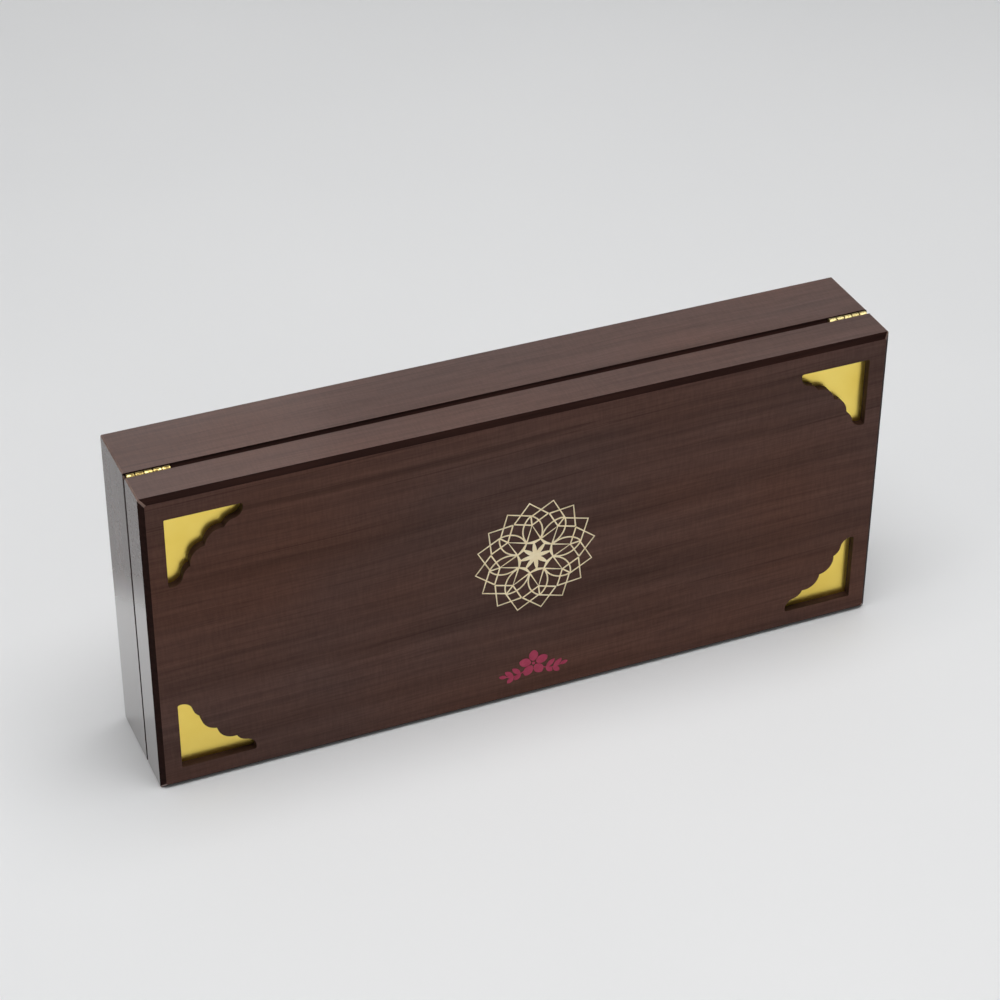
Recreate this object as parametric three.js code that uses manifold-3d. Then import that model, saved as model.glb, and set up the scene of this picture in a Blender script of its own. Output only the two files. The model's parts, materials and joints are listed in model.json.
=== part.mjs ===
// Hinged wooden presentation case, closed and standing on its long edge, in millimetres.
// X runs along the case, -Y is the lid's decorated face, +Y the back of the base, +Z is up.
// The origin is under the middle of the case, at the height of the surface that it stands on.
import * as THREE from "three";
import { mergeVertices } from "three/addons/utils/BufferGeometryUtils.js";
import Module from "manifold-3d";

const wasm = await Module();
wasm.setup();

// ---- driving dimensions -------------------------------------------------------------------
const LENGTH = 460;
const HEIGHT = 200;
const LID_DEPTH = 28;
const BASE_DEPTH = 45;
const ORNAMENT = 0.2; // thickness of the metal transfers laid on the lid's face
const SEAM_GAP = 0.6; // between the two rims when the case is closed
const WALL = 12;

const PANEL = 5; // the lid's face board
const FACE_CHAMFER = 3;
const GROOVE = 2.5; // half width of the V-groove in which the hinge barrels lie
const ARRIS = 0.5; // small chamfer on the back's outer edges
const RIM_ARRIS = 0.6; // and on the rims' outer edges, all but the top, where the groove is

const BACK_PANEL = 4;
const BACK_REBATE = 6; // wood left outside the back panel
const PANEL_GAP = 0.2; // the back panel's play in its rebate

const LINER = 1.5;
const LINER_GAP = 0.1;
const BASE_PAD = 12;
const LID_PAD = 7;
const PAD_GAP = 0.4;

const PLATE = 1; // gold corner plates behind the windows
const PLATE_LEG = 52;
const PLATE_CLIP = 8;

const WINDOW_SIDE = 13; // from the case's side faces to a window
const WINDOW_TOP = 15;
const WINDOW_BOTTOM = 13;

const HINGE_LENGTH = 25;
const HINGE_END = 1.5; // from a barrel's outer end to the side face
const KNUCKLES = 5;
const KNUCKLE_GAP = 0.4;
const BARREL_R = 2;
const BARREL_SIDES = 20;
const BARREL_RISE = 0.3; // how far the barrel stands above the top face
const PIN_R = 0.8;
const PIN_PLAY = 0.06;
const LEAF = 0.9;
const LEAF_WIDTH = 9;
const LEAF_PLAY = 0.1;

const SCREW_LENGTH = 8;
const SCREW_HEAD_R = 1.7;
const SCREW_SHANK_R = 0.8;
const SCREW_OFFSET = 7; // each side of the hinge's middle
const SCREW_DROP = 4.4; // below the leaf's upper edge
const SCREW_PLAY = 0.12;
const SLOT_WIDTH = 0.5;
const SLOT_DEPTH = 0.45;

const MAGNET_R = 4;
const MAGNET = 3;
const MAGNET_X = 150;
const MAGNET_PLAY = 0.15;

const ROSETTE_X = 2.75; // the rosette's centre, from the middle of the case
const ROSETTE_Z = 101.85;
const ROSETTE_TURN = THREE.MathUtils.degToRad(6.3);
const ROSETTE_LINE = { star: 0.9, inner: 0.84, spoke: 0.78, petal: 0.81 };

const BLOSSOM_X = 2.5;
const BLOSSOM_Z = 23.5;

// ---- derived places -----------------------------------------------------------------------
const BACK_Y = (LID_DEPTH + BASE_DEPTH + ORNAMENT) / 2;
const SEAM_Y = BACK_Y - BASE_DEPTH;
const FACE_Y = SEAM_Y - LID_DEPTH;
const BASE_RIM = SEAM_Y + SEAM_GAP / 2;
const LID_RIM = SEAM_Y - SEAM_GAP / 2;
const HALF = LENGTH / 2;
const AXIS_Z = HEIGHT + BARREL_RISE - BARREL_R;
const HINGE_X = HALF - HINGE_END - HINGE_LENGTH / 2;
const LEAF_TOP = AXIS_Z - BARREL_R - 2 * KNUCKLE_GAP;
const SCREW_Z = LEAF_TOP - SCREW_DROP;
const FAR = 1000; // longer than any piece, for cutters

// ---- finishes -----------------------------------------------------------------------------
const finishes = {
  walnut: { color: 0x463228, roughness: 0.3, metalness: 0 },
  gold: { color: 0xd9bd58, roughness: 0.35, metalness: 1 },
  brass: { color: 0xe0cf86, roughness: 0.25, metalness: 1 },
  champagne: { color: 0xd7c8a0, roughness: 0.4, metalness: 1 },
  pink: { color: 0xa0415a, roughness: 0.45, metalness: 0.3 },
  velvet: { color: 0x5a1626, roughness: 0.95, metalness: 0 },
  steel: { color: 0xb9bcc0, roughness: 0.3, metalness: 1 },
};

// ---- solids -------------------------------------------------------------------------------
// A closed geometry as a manifold solid.
function solid(geometry) {
  const bare = geometry.clone();
  bare.deleteAttribute("normal");
  bare.deleteAttribute("uv");
  const merged = mergeVertices(bare, 1e-4);
  return new wasm.Manifold(
    new wasm.Mesh({
      numProp: 3,
      vertProperties: merged.attributes.position.array,
      triVerts: new Uint32Array(merged.index.array),
    }),
  );
}

// A manifold solid as a three.js geometry with flat faces.
function geometryOf(body) {
  const mesh = body.getMesh();
  const geometry = new THREE.BufferGeometry();
  geometry.setAttribute("position", new THREE.BufferAttribute(mesh.vertProperties, 3));
  geometry.setIndex(new THREE.BufferAttribute(mesh.triVerts, 1));
  const flat = geometry.toNonIndexed();
  flat.computeVertexNormals();
  return flat;
}

const join = (bodies) => bodies.reduce((sum, body) => sum.add(body));
const cut = (body, cutters) => cutters.reduce((left, cutter) => left.subtract(cutter), body);

function box(x0, x1, y0, y1, z0, z1) {
  const geometry = new THREE.BoxGeometry(x1 - x0, y1 - y0, z1 - z0);
  geometry.translate((x0 + x1) / 2, (y0 + y1) / 2, (z0 + z1) / 2);
  return solid(geometry);
}

// A shape drawn in X and Z, from y0 to y1.
function slab(shape, y0, y1) {
  const geometry = new THREE.ExtrudeGeometry(shape, { depth: y1 - y0, bevelEnabled: false });
  geometry.rotateX(Math.PI / 2);
  geometry.translate(0, y1, 0);
  return solid(geometry);
}

const polygon = (points) => new THREE.Shape(points.map(([a, b]) => new THREE.Vector2(a, b)));

// A cutter longer than the case, along X from a polygon of [y, z], or along Z from one of [y, x].
function longCutter(points, axis) {
  const geometry = new THREE.ExtrudeGeometry(polygon(points), { depth: 2 * FAR, bevelEnabled: false });
  geometry.translate(0, 0, -FAR);
  const turn = new THREE.Matrix4();
  if (axis === "x") {
    turn.set(0, 0, 1, 0, 1, 0, 0, 0, 0, 1, 0, 0, 0, 0, 0, 1);
  } else {
    turn.set(0, 1, 0, 0, 1, 0, 0, 0, 0, 0, -1, 0, 0, 0, 0, 1);
  }
  geometry.applyMatrix4(turn);
  return solid(geometry);
}

// A cylinder on the hinges' axis; its sides start at the same angle whatever its radius.
function axisRod(radius, start, end) {
  const geometry = new THREE.CylinderGeometry(radius, radius, end - start, BARREL_SIDES);
  geometry.rotateZ(Math.PI / 2);
  geometry.translate((start + end) / 2, SEAM_Y, AXIS_Z);
  return solid(geometry);
}

// ---- the group of named pieces ------------------------------------------------------------
const presentationCase = new THREE.Group();
const baseGroup = new THREE.Group();
const lidGroup = new THREE.Group();
presentationCase.add(baseGroup, lidGroup);

function piece(group, name, body, finish) {
  const mesh = new THREE.Mesh(geometryOf(body), new THREE.MeshStandardMaterial(finishes[finish]));
  mesh.name = name;
  group.add(mesh);
}

// ---- mitred frames ------------------------------------------------------------------------
// The mitred outline of one side of a rectangular frame: near is its outer edge's distance
// inside the case's outline, far is its inner edge's.
function mitredSide(side, near, far) {
  const outer = { left: -HALF + near, right: HALF - near, bottom: near, top: HEIGHT - near };
  const inner = { left: -HALF + far, right: HALF - far, bottom: far, top: HEIGHT - far };
  const corner = (frame, x, z) => [frame[x], frame[z]];
  const ends = {
    top: [["left", "top"], ["right", "top"]],
    bottom: [["left", "bottom"], ["right", "bottom"]],
    left: [["left", "bottom"], ["left", "top"]],
    right: [["right", "bottom"], ["right", "top"]],
  }[side];
  return polygon([
    corner(outer, ...ends[0]),
    corner(outer, ...ends[1]),
    corner(inner, ...ends[1]),
    corner(inner, ...ends[0]),
  ]);
}

const SIDES = ["top", "bottom", "left", "right"];
const frameSide = (side, near, far, y0, y1) => slab(mitredSide(side, near, far), y0, y1);

// ---- hinges -------------------------------------------------------------------------------
const HINGES = [
  { name: "left", x: -HINGE_X },
  { name: "right", x: HINGE_X },
];
const KNUCKLE_PITCH = (HINGE_LENGTH + KNUCKLE_GAP) / KNUCKLES;

// The two halves of a hinge mirror each other about the seam: way is +1 for the base, -1 for the lid.
const HALVES = [
  { name: "base", way: 1, rim: BASE_RIM, group: baseGroup, first: 0 },
  { name: "lid", way: -1, rim: LID_RIM, group: lidGroup, first: 1 },
];

// A box on one side of the seam, from depth a to depth b behind that half's rim.
function rimBox(half, x0, x1, a, b, z0, z1) {
  const ys = [half.rim + half.way * a, half.rim + half.way * b].sort((p, q) => p - q);
  return box(x0, x1, ys[0], ys[1], z0, z1);
}

// A turned solid on a Y axis at x, z; its profile is [radius, depth behind the rim].
function turned(half, x, z, profile, sides) {
  const points = profile.map(([radius, depth]) => new THREE.Vector2(radius, depth));
  const geometry = new THREE.LatheGeometry(points, sides);
  if (half.way < 0) {
    geometry.rotateX(Math.PI);
  }
  geometry.translate(x, half.rim, z);
  return solid(geometry);
}

const screwPlaces = HINGES.flatMap((hinge) =>
  [-1, 1].map((way) => ({ hinge, way, x: hinge.x + way * SCREW_OFFSET })),
);

function leafCutters(half) {
  const pocket = HINGES.flatMap(({ x }) => {
    const end = HINGE_LENGTH / 2 + 3 * LEAF_PLAY;
    return [
      axisRod(BARREL_R + 3 * LEAF_PLAY, x - end, x + end),
      rimBox(half, x - end, x + end, -1, LEAF + LEAF_PLAY, LEAF_TOP - LEAF_WIDTH - LEAF_PLAY, AXIS_Z),
    ];
  });
  const pilots = screwPlaces.map(({ x }) => {
    const bore = SCREW_SHANK_R + SCREW_PLAY;
    const end = SCREW_LENGTH + 1;
    return turned(half, x, SCREW_Z, [[0, 0], [bore, 0], [bore, end], [0, end]], 12);
  });
  return [...pocket, ...pilots];
}

function leaf(half, hinge) {
  const end = HINGE_LENGTH / 2;
  let body = rimBox(half, hinge.x - end, hinge.x + end, 0, LEAF, LEAF_TOP - LEAF_WIDTH, LEAF_TOP);
  for (let k = half.first; k < KNUCKLES; k += 2) {
    const x0 = hinge.x - end + k * KNUCKLE_PITCH;
    const x1 = x0 + KNUCKLE_PITCH - KNUCKLE_GAP;
    const tab = rimBox(half, x0, x1, 0, LEAF, LEAF_TOP - LEAF, AXIS_Z - PIN_R);
    body = join([body, tab, axisRod(BARREL_R, x0, x1)]);
  }
  const bore = axisRod(PIN_R + PIN_PLAY, hinge.x - FAR, hinge.x + FAR);
  const sinks = screwPlaces
    .filter((place) => place.hinge === hinge)
    .map(({ x }) => {
      const rims = [
        [0, -0.5],
        [SCREW_HEAD_R + SCREW_PLAY, -0.5],
        [SCREW_HEAD_R + SCREW_PLAY, 0.05],
        [SCREW_SHANK_R + SCREW_PLAY, LEAF],
        [SCREW_SHANK_R + SCREW_PLAY, LEAF + 1],
        [0, LEAF + 1],
      ];
      return turned(half, x, SCREW_Z, rims, 16);
    });
  return cut(body, [bore, ...sinks]);
}

function screw(half, x) {
  const neck = LEAF - SCREW_PLAY;
  const profile = [
    [0, 0],
    [SCREW_HEAD_R, 0],
    [SCREW_HEAD_R, 0.05],
    [SCREW_SHANK_R, neck],
    [SCREW_SHANK_R, SCREW_LENGTH - 2],
    [0, SCREW_LENGTH],
  ];
  const rise = SLOT_WIDTH / 2;
  const slot = rimBox(half, x - FAR, x + FAR, -1, SLOT_DEPTH, SCREW_Z - rise, SCREW_Z + rise);
  return turned(half, x, SCREW_Z, profile, 16).subtract(slot);
}

for (const hinge of HINGES) {
  for (const half of HALVES) {
    piece(half.group, `hinge_${hinge.name}_${half.name}_leaf`, leaf(half, hinge), "brass");
  }
  const end = HINGE_LENGTH / 2 - KNUCKLE_GAP / 2;
  const pin = axisRod(PIN_R, hinge.x - end, hinge.x + end);
  piece(baseGroup, `hinge_${hinge.name}_pin`, pin, "brass");
}
for (const half of HALVES) {
  screwPlaces.forEach(({ hinge, way, x }) => {
    const name = `screw_${half.name}_${hinge.name}_${way < 0 ? "a" : "b"}`;
    piece(half.group, name, screw(half, x), "brass");
  });
}

// ---- closing magnets ----------------------------------------------------------------------
const MAGNETS = [
  { name: "left", x: -MAGNET_X },
  { name: "right", x: MAGNET_X },
];
const disc = (radius, from, depth) => [[0, from], [radius, from], [radius, depth], [0, depth]];

function magnetCutters(half) {
  const hole = disc(MAGNET_R + MAGNET_PLAY, -1, MAGNET + MAGNET_PLAY);
  return MAGNETS.map(({ x }) => turned(half, x, WALL / 2, hole, 24));
}
for (const half of HALVES) {
  for (const magnet of MAGNETS) {
    const body = turned(half, magnet.x, WALL / 2, disc(MAGNET_R, 0, MAGNET), 24);
    piece(half.group, `magnet_${half.name}_${magnet.name}`, body, "steel");
  }
}

// ---- walls --------------------------------------------------------------------------------
// The V-groove along the top of the seam; it runs out through both side faces.
const groove = longCutter(
  [
    [SEAM_Y - GROOVE - 1, HEIGHT + 1],
    [SEAM_Y, HEIGHT - GROOVE],
    [SEAM_Y + GROOVE + 1, HEIGHT + 1],
  ],
  "x",
);

// A triangular cutter that takes the arris off one outer edge of the case at depth y;
// inward is +1 where the wood lies towards +Y.
function arrisCutter(side, y, size, inward) {
  const edge = { top: HEIGHT, bottom: 0, left: -HALF, right: HALF }[side];
  const middle = { top: -1, bottom: 1, left: 1, right: -1 }[side];
  const points = [
    [y + inward * (size + 1), edge - middle],
    [y - inward, edge + middle * (size + 1)],
    [y - inward, edge - middle],
  ];
  return longCutter(points, side === "left" || side === "right" ? "z" : "x");
}

const rimCuts = HALVES.map((half) => [groove, ...leafCutters(half), ...magnetCutters(half)]);
const floorY = BACK_Y - BACK_PANEL;
for (const side of SIDES) {
  const baseWall = join([
    frameSide(side, 0, WALL, BASE_RIM, floorY),
    frameSide(side, 0, BACK_REBATE, floorY, BACK_Y),
  ]);
  const rimEdge = HALVES.map((half) =>
    side === "top" ? [] : [arrisCutter(side, half.rim, RIM_ARRIS, half.way)],
  );
  const backEdge = arrisCutter(side, BACK_Y, ARRIS, -1);
  piece(baseGroup, `base_wall_${side}`, cut(baseWall, [backEdge, ...rimEdge[0], ...rimCuts[0]]), "walnut");

  const lidWall = frameSide(side, 0, WALL, FACE_Y + PANEL, LID_RIM);
  piece(lidGroup, `lid_wall_${side}`, cut(lidWall, [...rimEdge[1], ...rimCuts[1]]), "walnut");
}

// ---- back panel ---------------------------------------------------------------------------
const backInset = BACK_REBATE + PANEL_GAP;
piece(
  baseGroup,
  "base_back_panel",
  box(-HALF + backInset, HALF - backInset, floorY, BACK_Y, backInset, HEIGHT - backInset),
  "walnut",
);

// ---- lid face board with its four scalloped windows ---------------------------------------
// Points on the arc from a through b to c, without a.
function arcThrough(a, b, c, steps) {
  const [ax, ay] = a;
  const [bx, by] = b;
  const [cx, cy] = c;
  const d = 2 * (ax * (by - cy) + bx * (cy - ay) + cx * (ay - by));
  const aa = ax * ax + ay * ay;
  const bb = bx * bx + by * by;
  const cc = cx * cx + cy * cy;
  const ox = (aa * (by - cy) + bb * (cy - ay) + cc * (ay - by)) / d;
  const oy = (aa * (cx - bx) + bb * (ax - cx) + cc * (bx - ax)) / d;
  const radius = Math.hypot(ax - ox, ay - oy);
  const start = Math.atan2(ay - oy, ax - ox);
  const turn = (point) => {
    const raw = Math.atan2(point[1] - oy, point[0] - ox) - start;
    return ((raw % (2 * Math.PI)) + 2 * Math.PI) % (2 * Math.PI);
  };
  const sweep = turn(b) < turn(c) ? turn(c) : turn(c) - 2 * Math.PI;
  return Array.from({ length: steps }, (_, i) => {
    const angle = start + (sweep * (i + 1)) / steps;
    return [ox + radius * Math.cos(angle), oy + radius * Math.sin(angle)];
  });
}

// One window in its own corner: u along the long edge, v down the short one. Wooden lobes
// bulge into it between three cusps; the outline mirrors itself about the corner's diagonal.
function windowOutline() {
  const tip = [45, 1.2];
  const nose = arcThrough(tip, [43.9, 6], [40, 8.7], 6);
  const smallLobe = arcThrough([40, 8.7], [36, 10.3], [33.7, 13.3], 4);
  const largeLobe = arcThrough([33.7, 13.3], [25.5, 15.9], [22.3, 22.3], 7);
  const half = [[44, 0], tip, ...nose, ...smallLobe, ...largeLobe];
  const mirrored = half.slice(0, -1).map(([u, v]) => [v, u]);
  return [[0, 0], ...half, ...mirrored.reverse()];
}

const CORNERS = [
  { name: "top_left", x: -1, z: 1 },
  { name: "top_right", x: 1, z: 1 },
  { name: "bottom_left", x: -1, z: -1 },
  { name: "bottom_right", x: 1, z: -1 },
];

// A point u, v inside a corner of the case, as X and Z.
function fromCorner({ x, z }, u, v) {
  return [x * (HALF - u), z > 0 ? HEIGHT - v : v];
}

const windows = CORNERS.map((corner) => {
  const drop = corner.z > 0 ? WINDOW_TOP : WINDOW_BOTTOM;
  const points = windowOutline().map(([u, v]) => fromCorner(corner, u + WINDOW_SIDE, v + drop));
  return slab(polygon(points), FACE_Y - 1, FACE_Y + PANEL + 1);
});
const chamfers = SIDES.map((side) => arrisCutter(side, FACE_Y, FACE_CHAMFER, 1));
const faceBoard = box(-HALF, HALF, FACE_Y, FACE_Y + PANEL, 0, HEIGHT);
piece(lidGroup, "lid_face_board", cut(faceBoard, [...chamfers, ...windows]), "walnut");

// ---- gold plates behind the windows -------------------------------------------------------
for (const corner of CORNERS) {
  const near = WALL + 3 * LINER_GAP;
  const far = near + PLATE_LEG;
  const outline = [
    [near, near],
    [far, near],
    [far, near + PLATE_CLIP],
    [near + PLATE_CLIP, far],
    [near, far],
  ].map(([u, v]) => fromCorner(corner, u, v));
  const plate = slab(polygon(outline), FACE_Y + PANEL, FACE_Y + PANEL + PLATE);
  piece(lidGroup, `corner_plate_${corner.name}`, plate, "gold");
}

// ---- linings ------------------------------------------------------------------------------
const lidFloor = FACE_Y + PANEL + PLATE + 3 * LINER_GAP;
const baseFloor = floorY - LINER_GAP;
for (const side of SIDES) {
  const near = WALL + LINER_GAP;
  const far = near + LINER;
  piece(baseGroup, `base_liner_${side}`, frameSide(side, near, far, BASE_RIM + 1, baseFloor), "velvet");
  piece(lidGroup, `lid_liner_${side}`, frameSide(side, near, far, lidFloor, LID_RIM - 1), "velvet");
}
const padIn = WALL + LINER_GAP + LINER + PAD_GAP;
piece(
  baseGroup,
  "base_pad",
  box(-HALF + padIn, HALF - padIn, baseFloor - BASE_PAD, baseFloor, padIn, HEIGHT - padIn),
  "velvet",
);
piece(
  lidGroup,
  "lid_pad",
  box(-HALF + padIn, HALF - padIn, lidFloor, lidFloor + LID_PAD, padIn, HEIGHT - padIn),
  "velvet",
);

// ---- rosette ------------------------------------------------------------------------------
// Everything in it lies on rays 22.5 degrees apart; a point is given by its ray and its radius.
const RAYS = 16;
const RING = { points: 36.9, second: 28.1, third: 21.4, cusp: 12.3, valley: 10.9 };
const PETAL_ARC = { turn: 0.76, radius: 20.2 }; // what an arc passes through between its ends
const KITE = { inner: 3.5, side: 9, sideTurn: 0.86, outer: 11.2, middle: 7.4, bulge: 0.14 };

function ray(index, radius) {
  const angle = ROSETTE_TURN + (index * 2 * Math.PI) / RAYS;
  return [ROSETTE_X + radius * Math.cos(angle), ROSETTE_Z + radius * Math.sin(angle)];
}

// A flat line through its points, as a chain of short bars that lap each other at the bends.
function line(points, width) {
  const lap = 0.4 * width;
  return points.slice(1).map((end, i) => {
    const start = points[i];
    const length = Math.hypot(end[0] - start[0], end[1] - start[1]);
    const [ux, uz] = [(end[0] - start[0]) / length, (end[1] - start[1]) / length];
    const corner = ([x, z], along, across) => [x + ux * along - uz * across, z + uz * along + ux * across];
    return slab(
      polygon([
        corner(start, -lap, -width / 2),
        corner(end, lap, -width / 2),
        corner(end, lap, width / 2),
        corner(start, -lap, width / 2),
      ]),
      FACE_Y - ORNAMENT,
      FACE_Y,
    );
  });
}

const between = (a, b, share) => a.map((v, i) => v + (b[i] - v) * share);

function rosette() {
  const { points, second, third, cusp, valley } = RING;
  const strokes = [];
  for (let k = 0; k < RAYS; k += 1) {
    strokes.push(...line([ray(k - 1, second), ray(k, points), ray(k + 1, second)], ROSETTE_LINE.star));
  }
  for (let k = 0; k < RAYS; k += 2) {
    strokes.push(...line([ray(k - 1, second), ray(k, third), ray(k + 1, second)], ROSETTE_LINE.inner));
    strokes.push(...line([ray(k - 1, cusp), ray(k, third), ray(k + 1, cusp)], ROSETTE_LINE.spoke));
    strokes.push(...line([ray(k, second), ray(k, third)], ROSETTE_LINE.spoke));
    for (const side of [-1, 1]) {
      const pass = ray(k + side * PETAL_ARC.turn, PETAL_ARC.radius);
      const petal = arcThrough(ray(k, second), pass, ray(k + side, cusp), 3);
      strokes.push(...line([ray(k, second), ...petal], ROSETTE_LINE.petal));
    }
  }
  // The solid middle: a scalloped ring round a star of lens-shaped petals, with kite-shaped
  // holes between them on the odd rays.
  const rim = [];
  for (let k = 0; k < RAYS; k += 2) {
    rim.push(...arcThrough(ray(k - 1, cusp), ray(k, valley), ray(k + 1, cusp), 2));
  }
  const heart = polygon(rim);
  for (let k = 1; k < RAYS; k += 2) {
    const inner = ray(k, KITE.inner);
    const [left, right] = [-1, 1].map((way) => ray(k + way * KITE.sideTurn, KITE.side));
    const bulge = (side) => between(between(inner, side, 0.5), ray(k, KITE.middle), KITE.bulge);
    const one = arcThrough(inner, bulge(left), left, 2);
    const other = arcThrough(right, bulge(right), inner, 2).slice(0, -1);
    heart.holes.push(polygon([inner, ...one, ray(k, KITE.outer), right, ...other]));
  }
  return join([slab(heart, FACE_Y - ORNAMENT, FACE_Y), ...strokes]);
}
piece(lidGroup, "rosette", rosette(), "champagne");

// ---- blossom motif ------------------------------------------------------------------------
// A plain five-petalled blossom with a sprig of leaves on each side.
const PETALS = 5;
const PETAL = { length: 9.6, width: 7 };
const SPRIG = { start: 4, reach: 14.5, drop: 3.2, dip: 3.4, width: 0.8 };
const SPRIG_LEAVES = { places: [0.3, 0.62], angle: 0.75, upper: 7.4, lower: 5.4, width: 3.3 };
const TIP_LEAF = { place: 0.92, angle: 0.25, length: 5.2, width: 2.5 };

// A leaf of a given length and width, pointing at an angle from its foot.
function leafShape(x, z, angle, length, width) {
  const at = (along, across) => [
    BLOSSOM_X + x + along * Math.cos(angle) - across * Math.sin(angle),
    BLOSSOM_Z + z + along * Math.sin(angle) + across * Math.cos(angle),
  ];
  const one = arcThrough(at(0, 0), at(length / 2, -width / 2), at(length, 0), 4);
  const other = arcThrough(at(length, 0), at(length / 2, width / 2), at(0, 0), 4);
  return slab(polygon([...one, ...other]), FACE_Y - ORNAMENT, FACE_Y);
}

function blossom() {
  const bodies = [];
  for (let p = 0; p < PETALS; p += 1) {
    bodies.push(leafShape(0, 0, Math.PI / 2 + (p * 2 * Math.PI) / PETALS, PETAL.length, PETAL.width));
  }
  for (const way of [-1, 1]) {
    const stem = (share) => {
      const dip = SPRIG.dip * Math.sin(share * Math.PI * 0.8);
      return [way * (SPRIG.start + SPRIG.reach * share), -SPRIG.drop - dip];
    };
    const outwards = (angle) => (way > 0 ? angle : Math.PI - angle);
    const stations = [0, 0.25, 0.5, 0.75, 1].map(stem);
    bodies.push(...line(stations.map(([x, z]) => [BLOSSOM_X + x, BLOSSOM_Z + z]), SPRIG.width));
    for (const share of SPRIG_LEAVES.places) {
      const at = stem(share);
      bodies.push(leafShape(...at, outwards(SPRIG_LEAVES.angle), SPRIG_LEAVES.upper, SPRIG_LEAVES.width));
      bodies.push(leafShape(...at, outwards(-SPRIG_LEAVES.angle), SPRIG_LEAVES.lower, SPRIG_LEAVES.width));
    }
    const { place, angle, length, width } = TIP_LEAF;
    bodies.push(leafShape(...stem(place), outwards(angle), length, width));
  }
  return join(bodies);
}
piece(lidGroup, "blossom_motif", blossom(), "pink");

export default presentationCase;
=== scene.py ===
"""Looks of a hinged walnut presentation case: lacquered boards, gilt corner plates, a metal rosette,
small brass hinges and a velvet lining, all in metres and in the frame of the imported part."""

import json
import math

import bmesh
import bpy
from mathutils import Euler, Matrix, Vector

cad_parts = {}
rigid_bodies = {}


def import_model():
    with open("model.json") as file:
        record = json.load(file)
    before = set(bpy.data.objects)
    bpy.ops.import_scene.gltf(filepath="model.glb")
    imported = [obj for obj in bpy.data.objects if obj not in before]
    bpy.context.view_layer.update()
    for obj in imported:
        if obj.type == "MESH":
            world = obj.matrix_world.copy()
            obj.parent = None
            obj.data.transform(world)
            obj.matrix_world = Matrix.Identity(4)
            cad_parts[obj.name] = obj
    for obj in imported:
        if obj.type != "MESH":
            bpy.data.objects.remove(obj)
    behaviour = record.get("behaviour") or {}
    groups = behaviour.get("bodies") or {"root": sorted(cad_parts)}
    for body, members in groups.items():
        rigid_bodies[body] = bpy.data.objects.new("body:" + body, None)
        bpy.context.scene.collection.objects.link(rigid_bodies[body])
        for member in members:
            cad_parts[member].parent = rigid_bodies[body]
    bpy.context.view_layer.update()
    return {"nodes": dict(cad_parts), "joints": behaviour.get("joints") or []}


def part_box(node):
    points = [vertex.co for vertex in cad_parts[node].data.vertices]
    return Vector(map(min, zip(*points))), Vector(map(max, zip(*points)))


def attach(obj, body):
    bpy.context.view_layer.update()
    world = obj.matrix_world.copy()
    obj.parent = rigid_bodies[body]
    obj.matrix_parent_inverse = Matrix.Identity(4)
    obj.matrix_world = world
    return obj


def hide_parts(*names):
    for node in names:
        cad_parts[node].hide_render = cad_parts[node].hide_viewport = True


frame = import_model()

MM = 0.001
HALVES = ("base", "lid")
WAY = {"base": 1, "lid": -1}  # the sense of Y that leads from a half's rim into its wood
HINGE_SIDES = ("left", "right")
WALL_SIDES = ("top", "bottom", "left", "right")
CORNERS = {"top_left": (-1, 1), "top_right": (1, 1), "bottom_left": (-1, -1), "bottom_right": (1, -1)}

# ---- places taken from the frame -------------------------------------------------------------
board_low, board_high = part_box("lid_face_board")
lid_wall_low, lid_wall_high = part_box("lid_wall_top")
base_wall_low, base_wall_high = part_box("base_wall_top")
panel_low, panel_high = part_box("base_back_panel")
FACE_Y = board_low.y
BOARD_BACK = board_high.y
RIM = {"base": base_wall_low.y, "lid": lid_wall_high.y}
BACK_Y = base_wall_high.y
HALF = board_high.x
HEIGHT = board_high.z
WALL = HEIGHT - lid_wall_low.z
AXIS_Y, AXIS_Z = frame["joints"][0]["pos_m"][1:]

# ---- sizes of the shells' edges, windows and pockets -----------------------------------------
FACE_CHAMFER = 3 * MM
GROOVE_CHAMFER = 2.2 * MM
BACK_ARRIS = 0.5 * MM
RIM_ARRIS = 0.9 * MM
EDGE_ROUND = 0.32 * MM
CORNER_ROUND = 0.9 * MM
PANEL_ROUND = 0.3 * MM
WINDOW_SIDE, WINDOW_TOP, WINDOW_BOTTOM = 13, 15, 13  # from the case's edges, in millimetres
OVERSHOOT = 5 * MM  # how far a cavity's cutter stands out of the wood
PANEL_PLAY = 0.2 * MM
HINGE_PLAY = 0.3 * MM
MORTISE_DEPTH = 1 * MM
MAGNET_PLAY = 0.15 * MM
MAGNET_DEPTH = 3 * MM
CUTTER_SIDES = 40


# ---- mesh helpers ----------------------------------------------------------------------------
def add_object(name, mesh):
    piece = bpy.data.objects.new(name, mesh)
    bpy.context.scene.collection.objects.link(piece)
    return piece


def mesh_from(name, work):
    mesh = bpy.data.meshes.new(name)
    work.to_mesh(mesh)
    work.free()
    return mesh


def evaluated_mesh(piece):
    bpy.context.view_layer.update()
    return bpy.data.meshes.new_from_object(piece.evaluated_get(bpy.context.evaluated_depsgraph_get()))


def settle(piece):
    """Replaces a piece's mesh by the outcome of its modifiers, which are then removed."""
    made = evaluated_mesh(piece)
    piece.modifiers.clear()
    piece.data = made
    return piece


def prism(name, outline, y0, y1):
    """A closed solid from an outline of (x, z) points, from y0 to y1."""
    work = bmesh.new()
    front = [work.verts.new((x, y0, z)) for x, z in outline]
    back = [work.verts.new((x, y1, z)) for x, z in outline]
    work.faces.new(front)
    work.faces.new(back[::-1])
    for i in range(len(outline)):
        j = (i + 1) % len(outline)
        work.faces.new((front[i], back[i], back[j], front[j]))
    bmesh.ops.recalc_face_normals(work, faces=work.faces)
    return add_object(name, mesh_from(name, work))


def block(name, low, high):
    outline = [(low[0], low[2]), (high[0], low[2]), (high[0], high[2]), (low[0], high[2])]
    return prism(name, outline, low[1], high[1])


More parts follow.
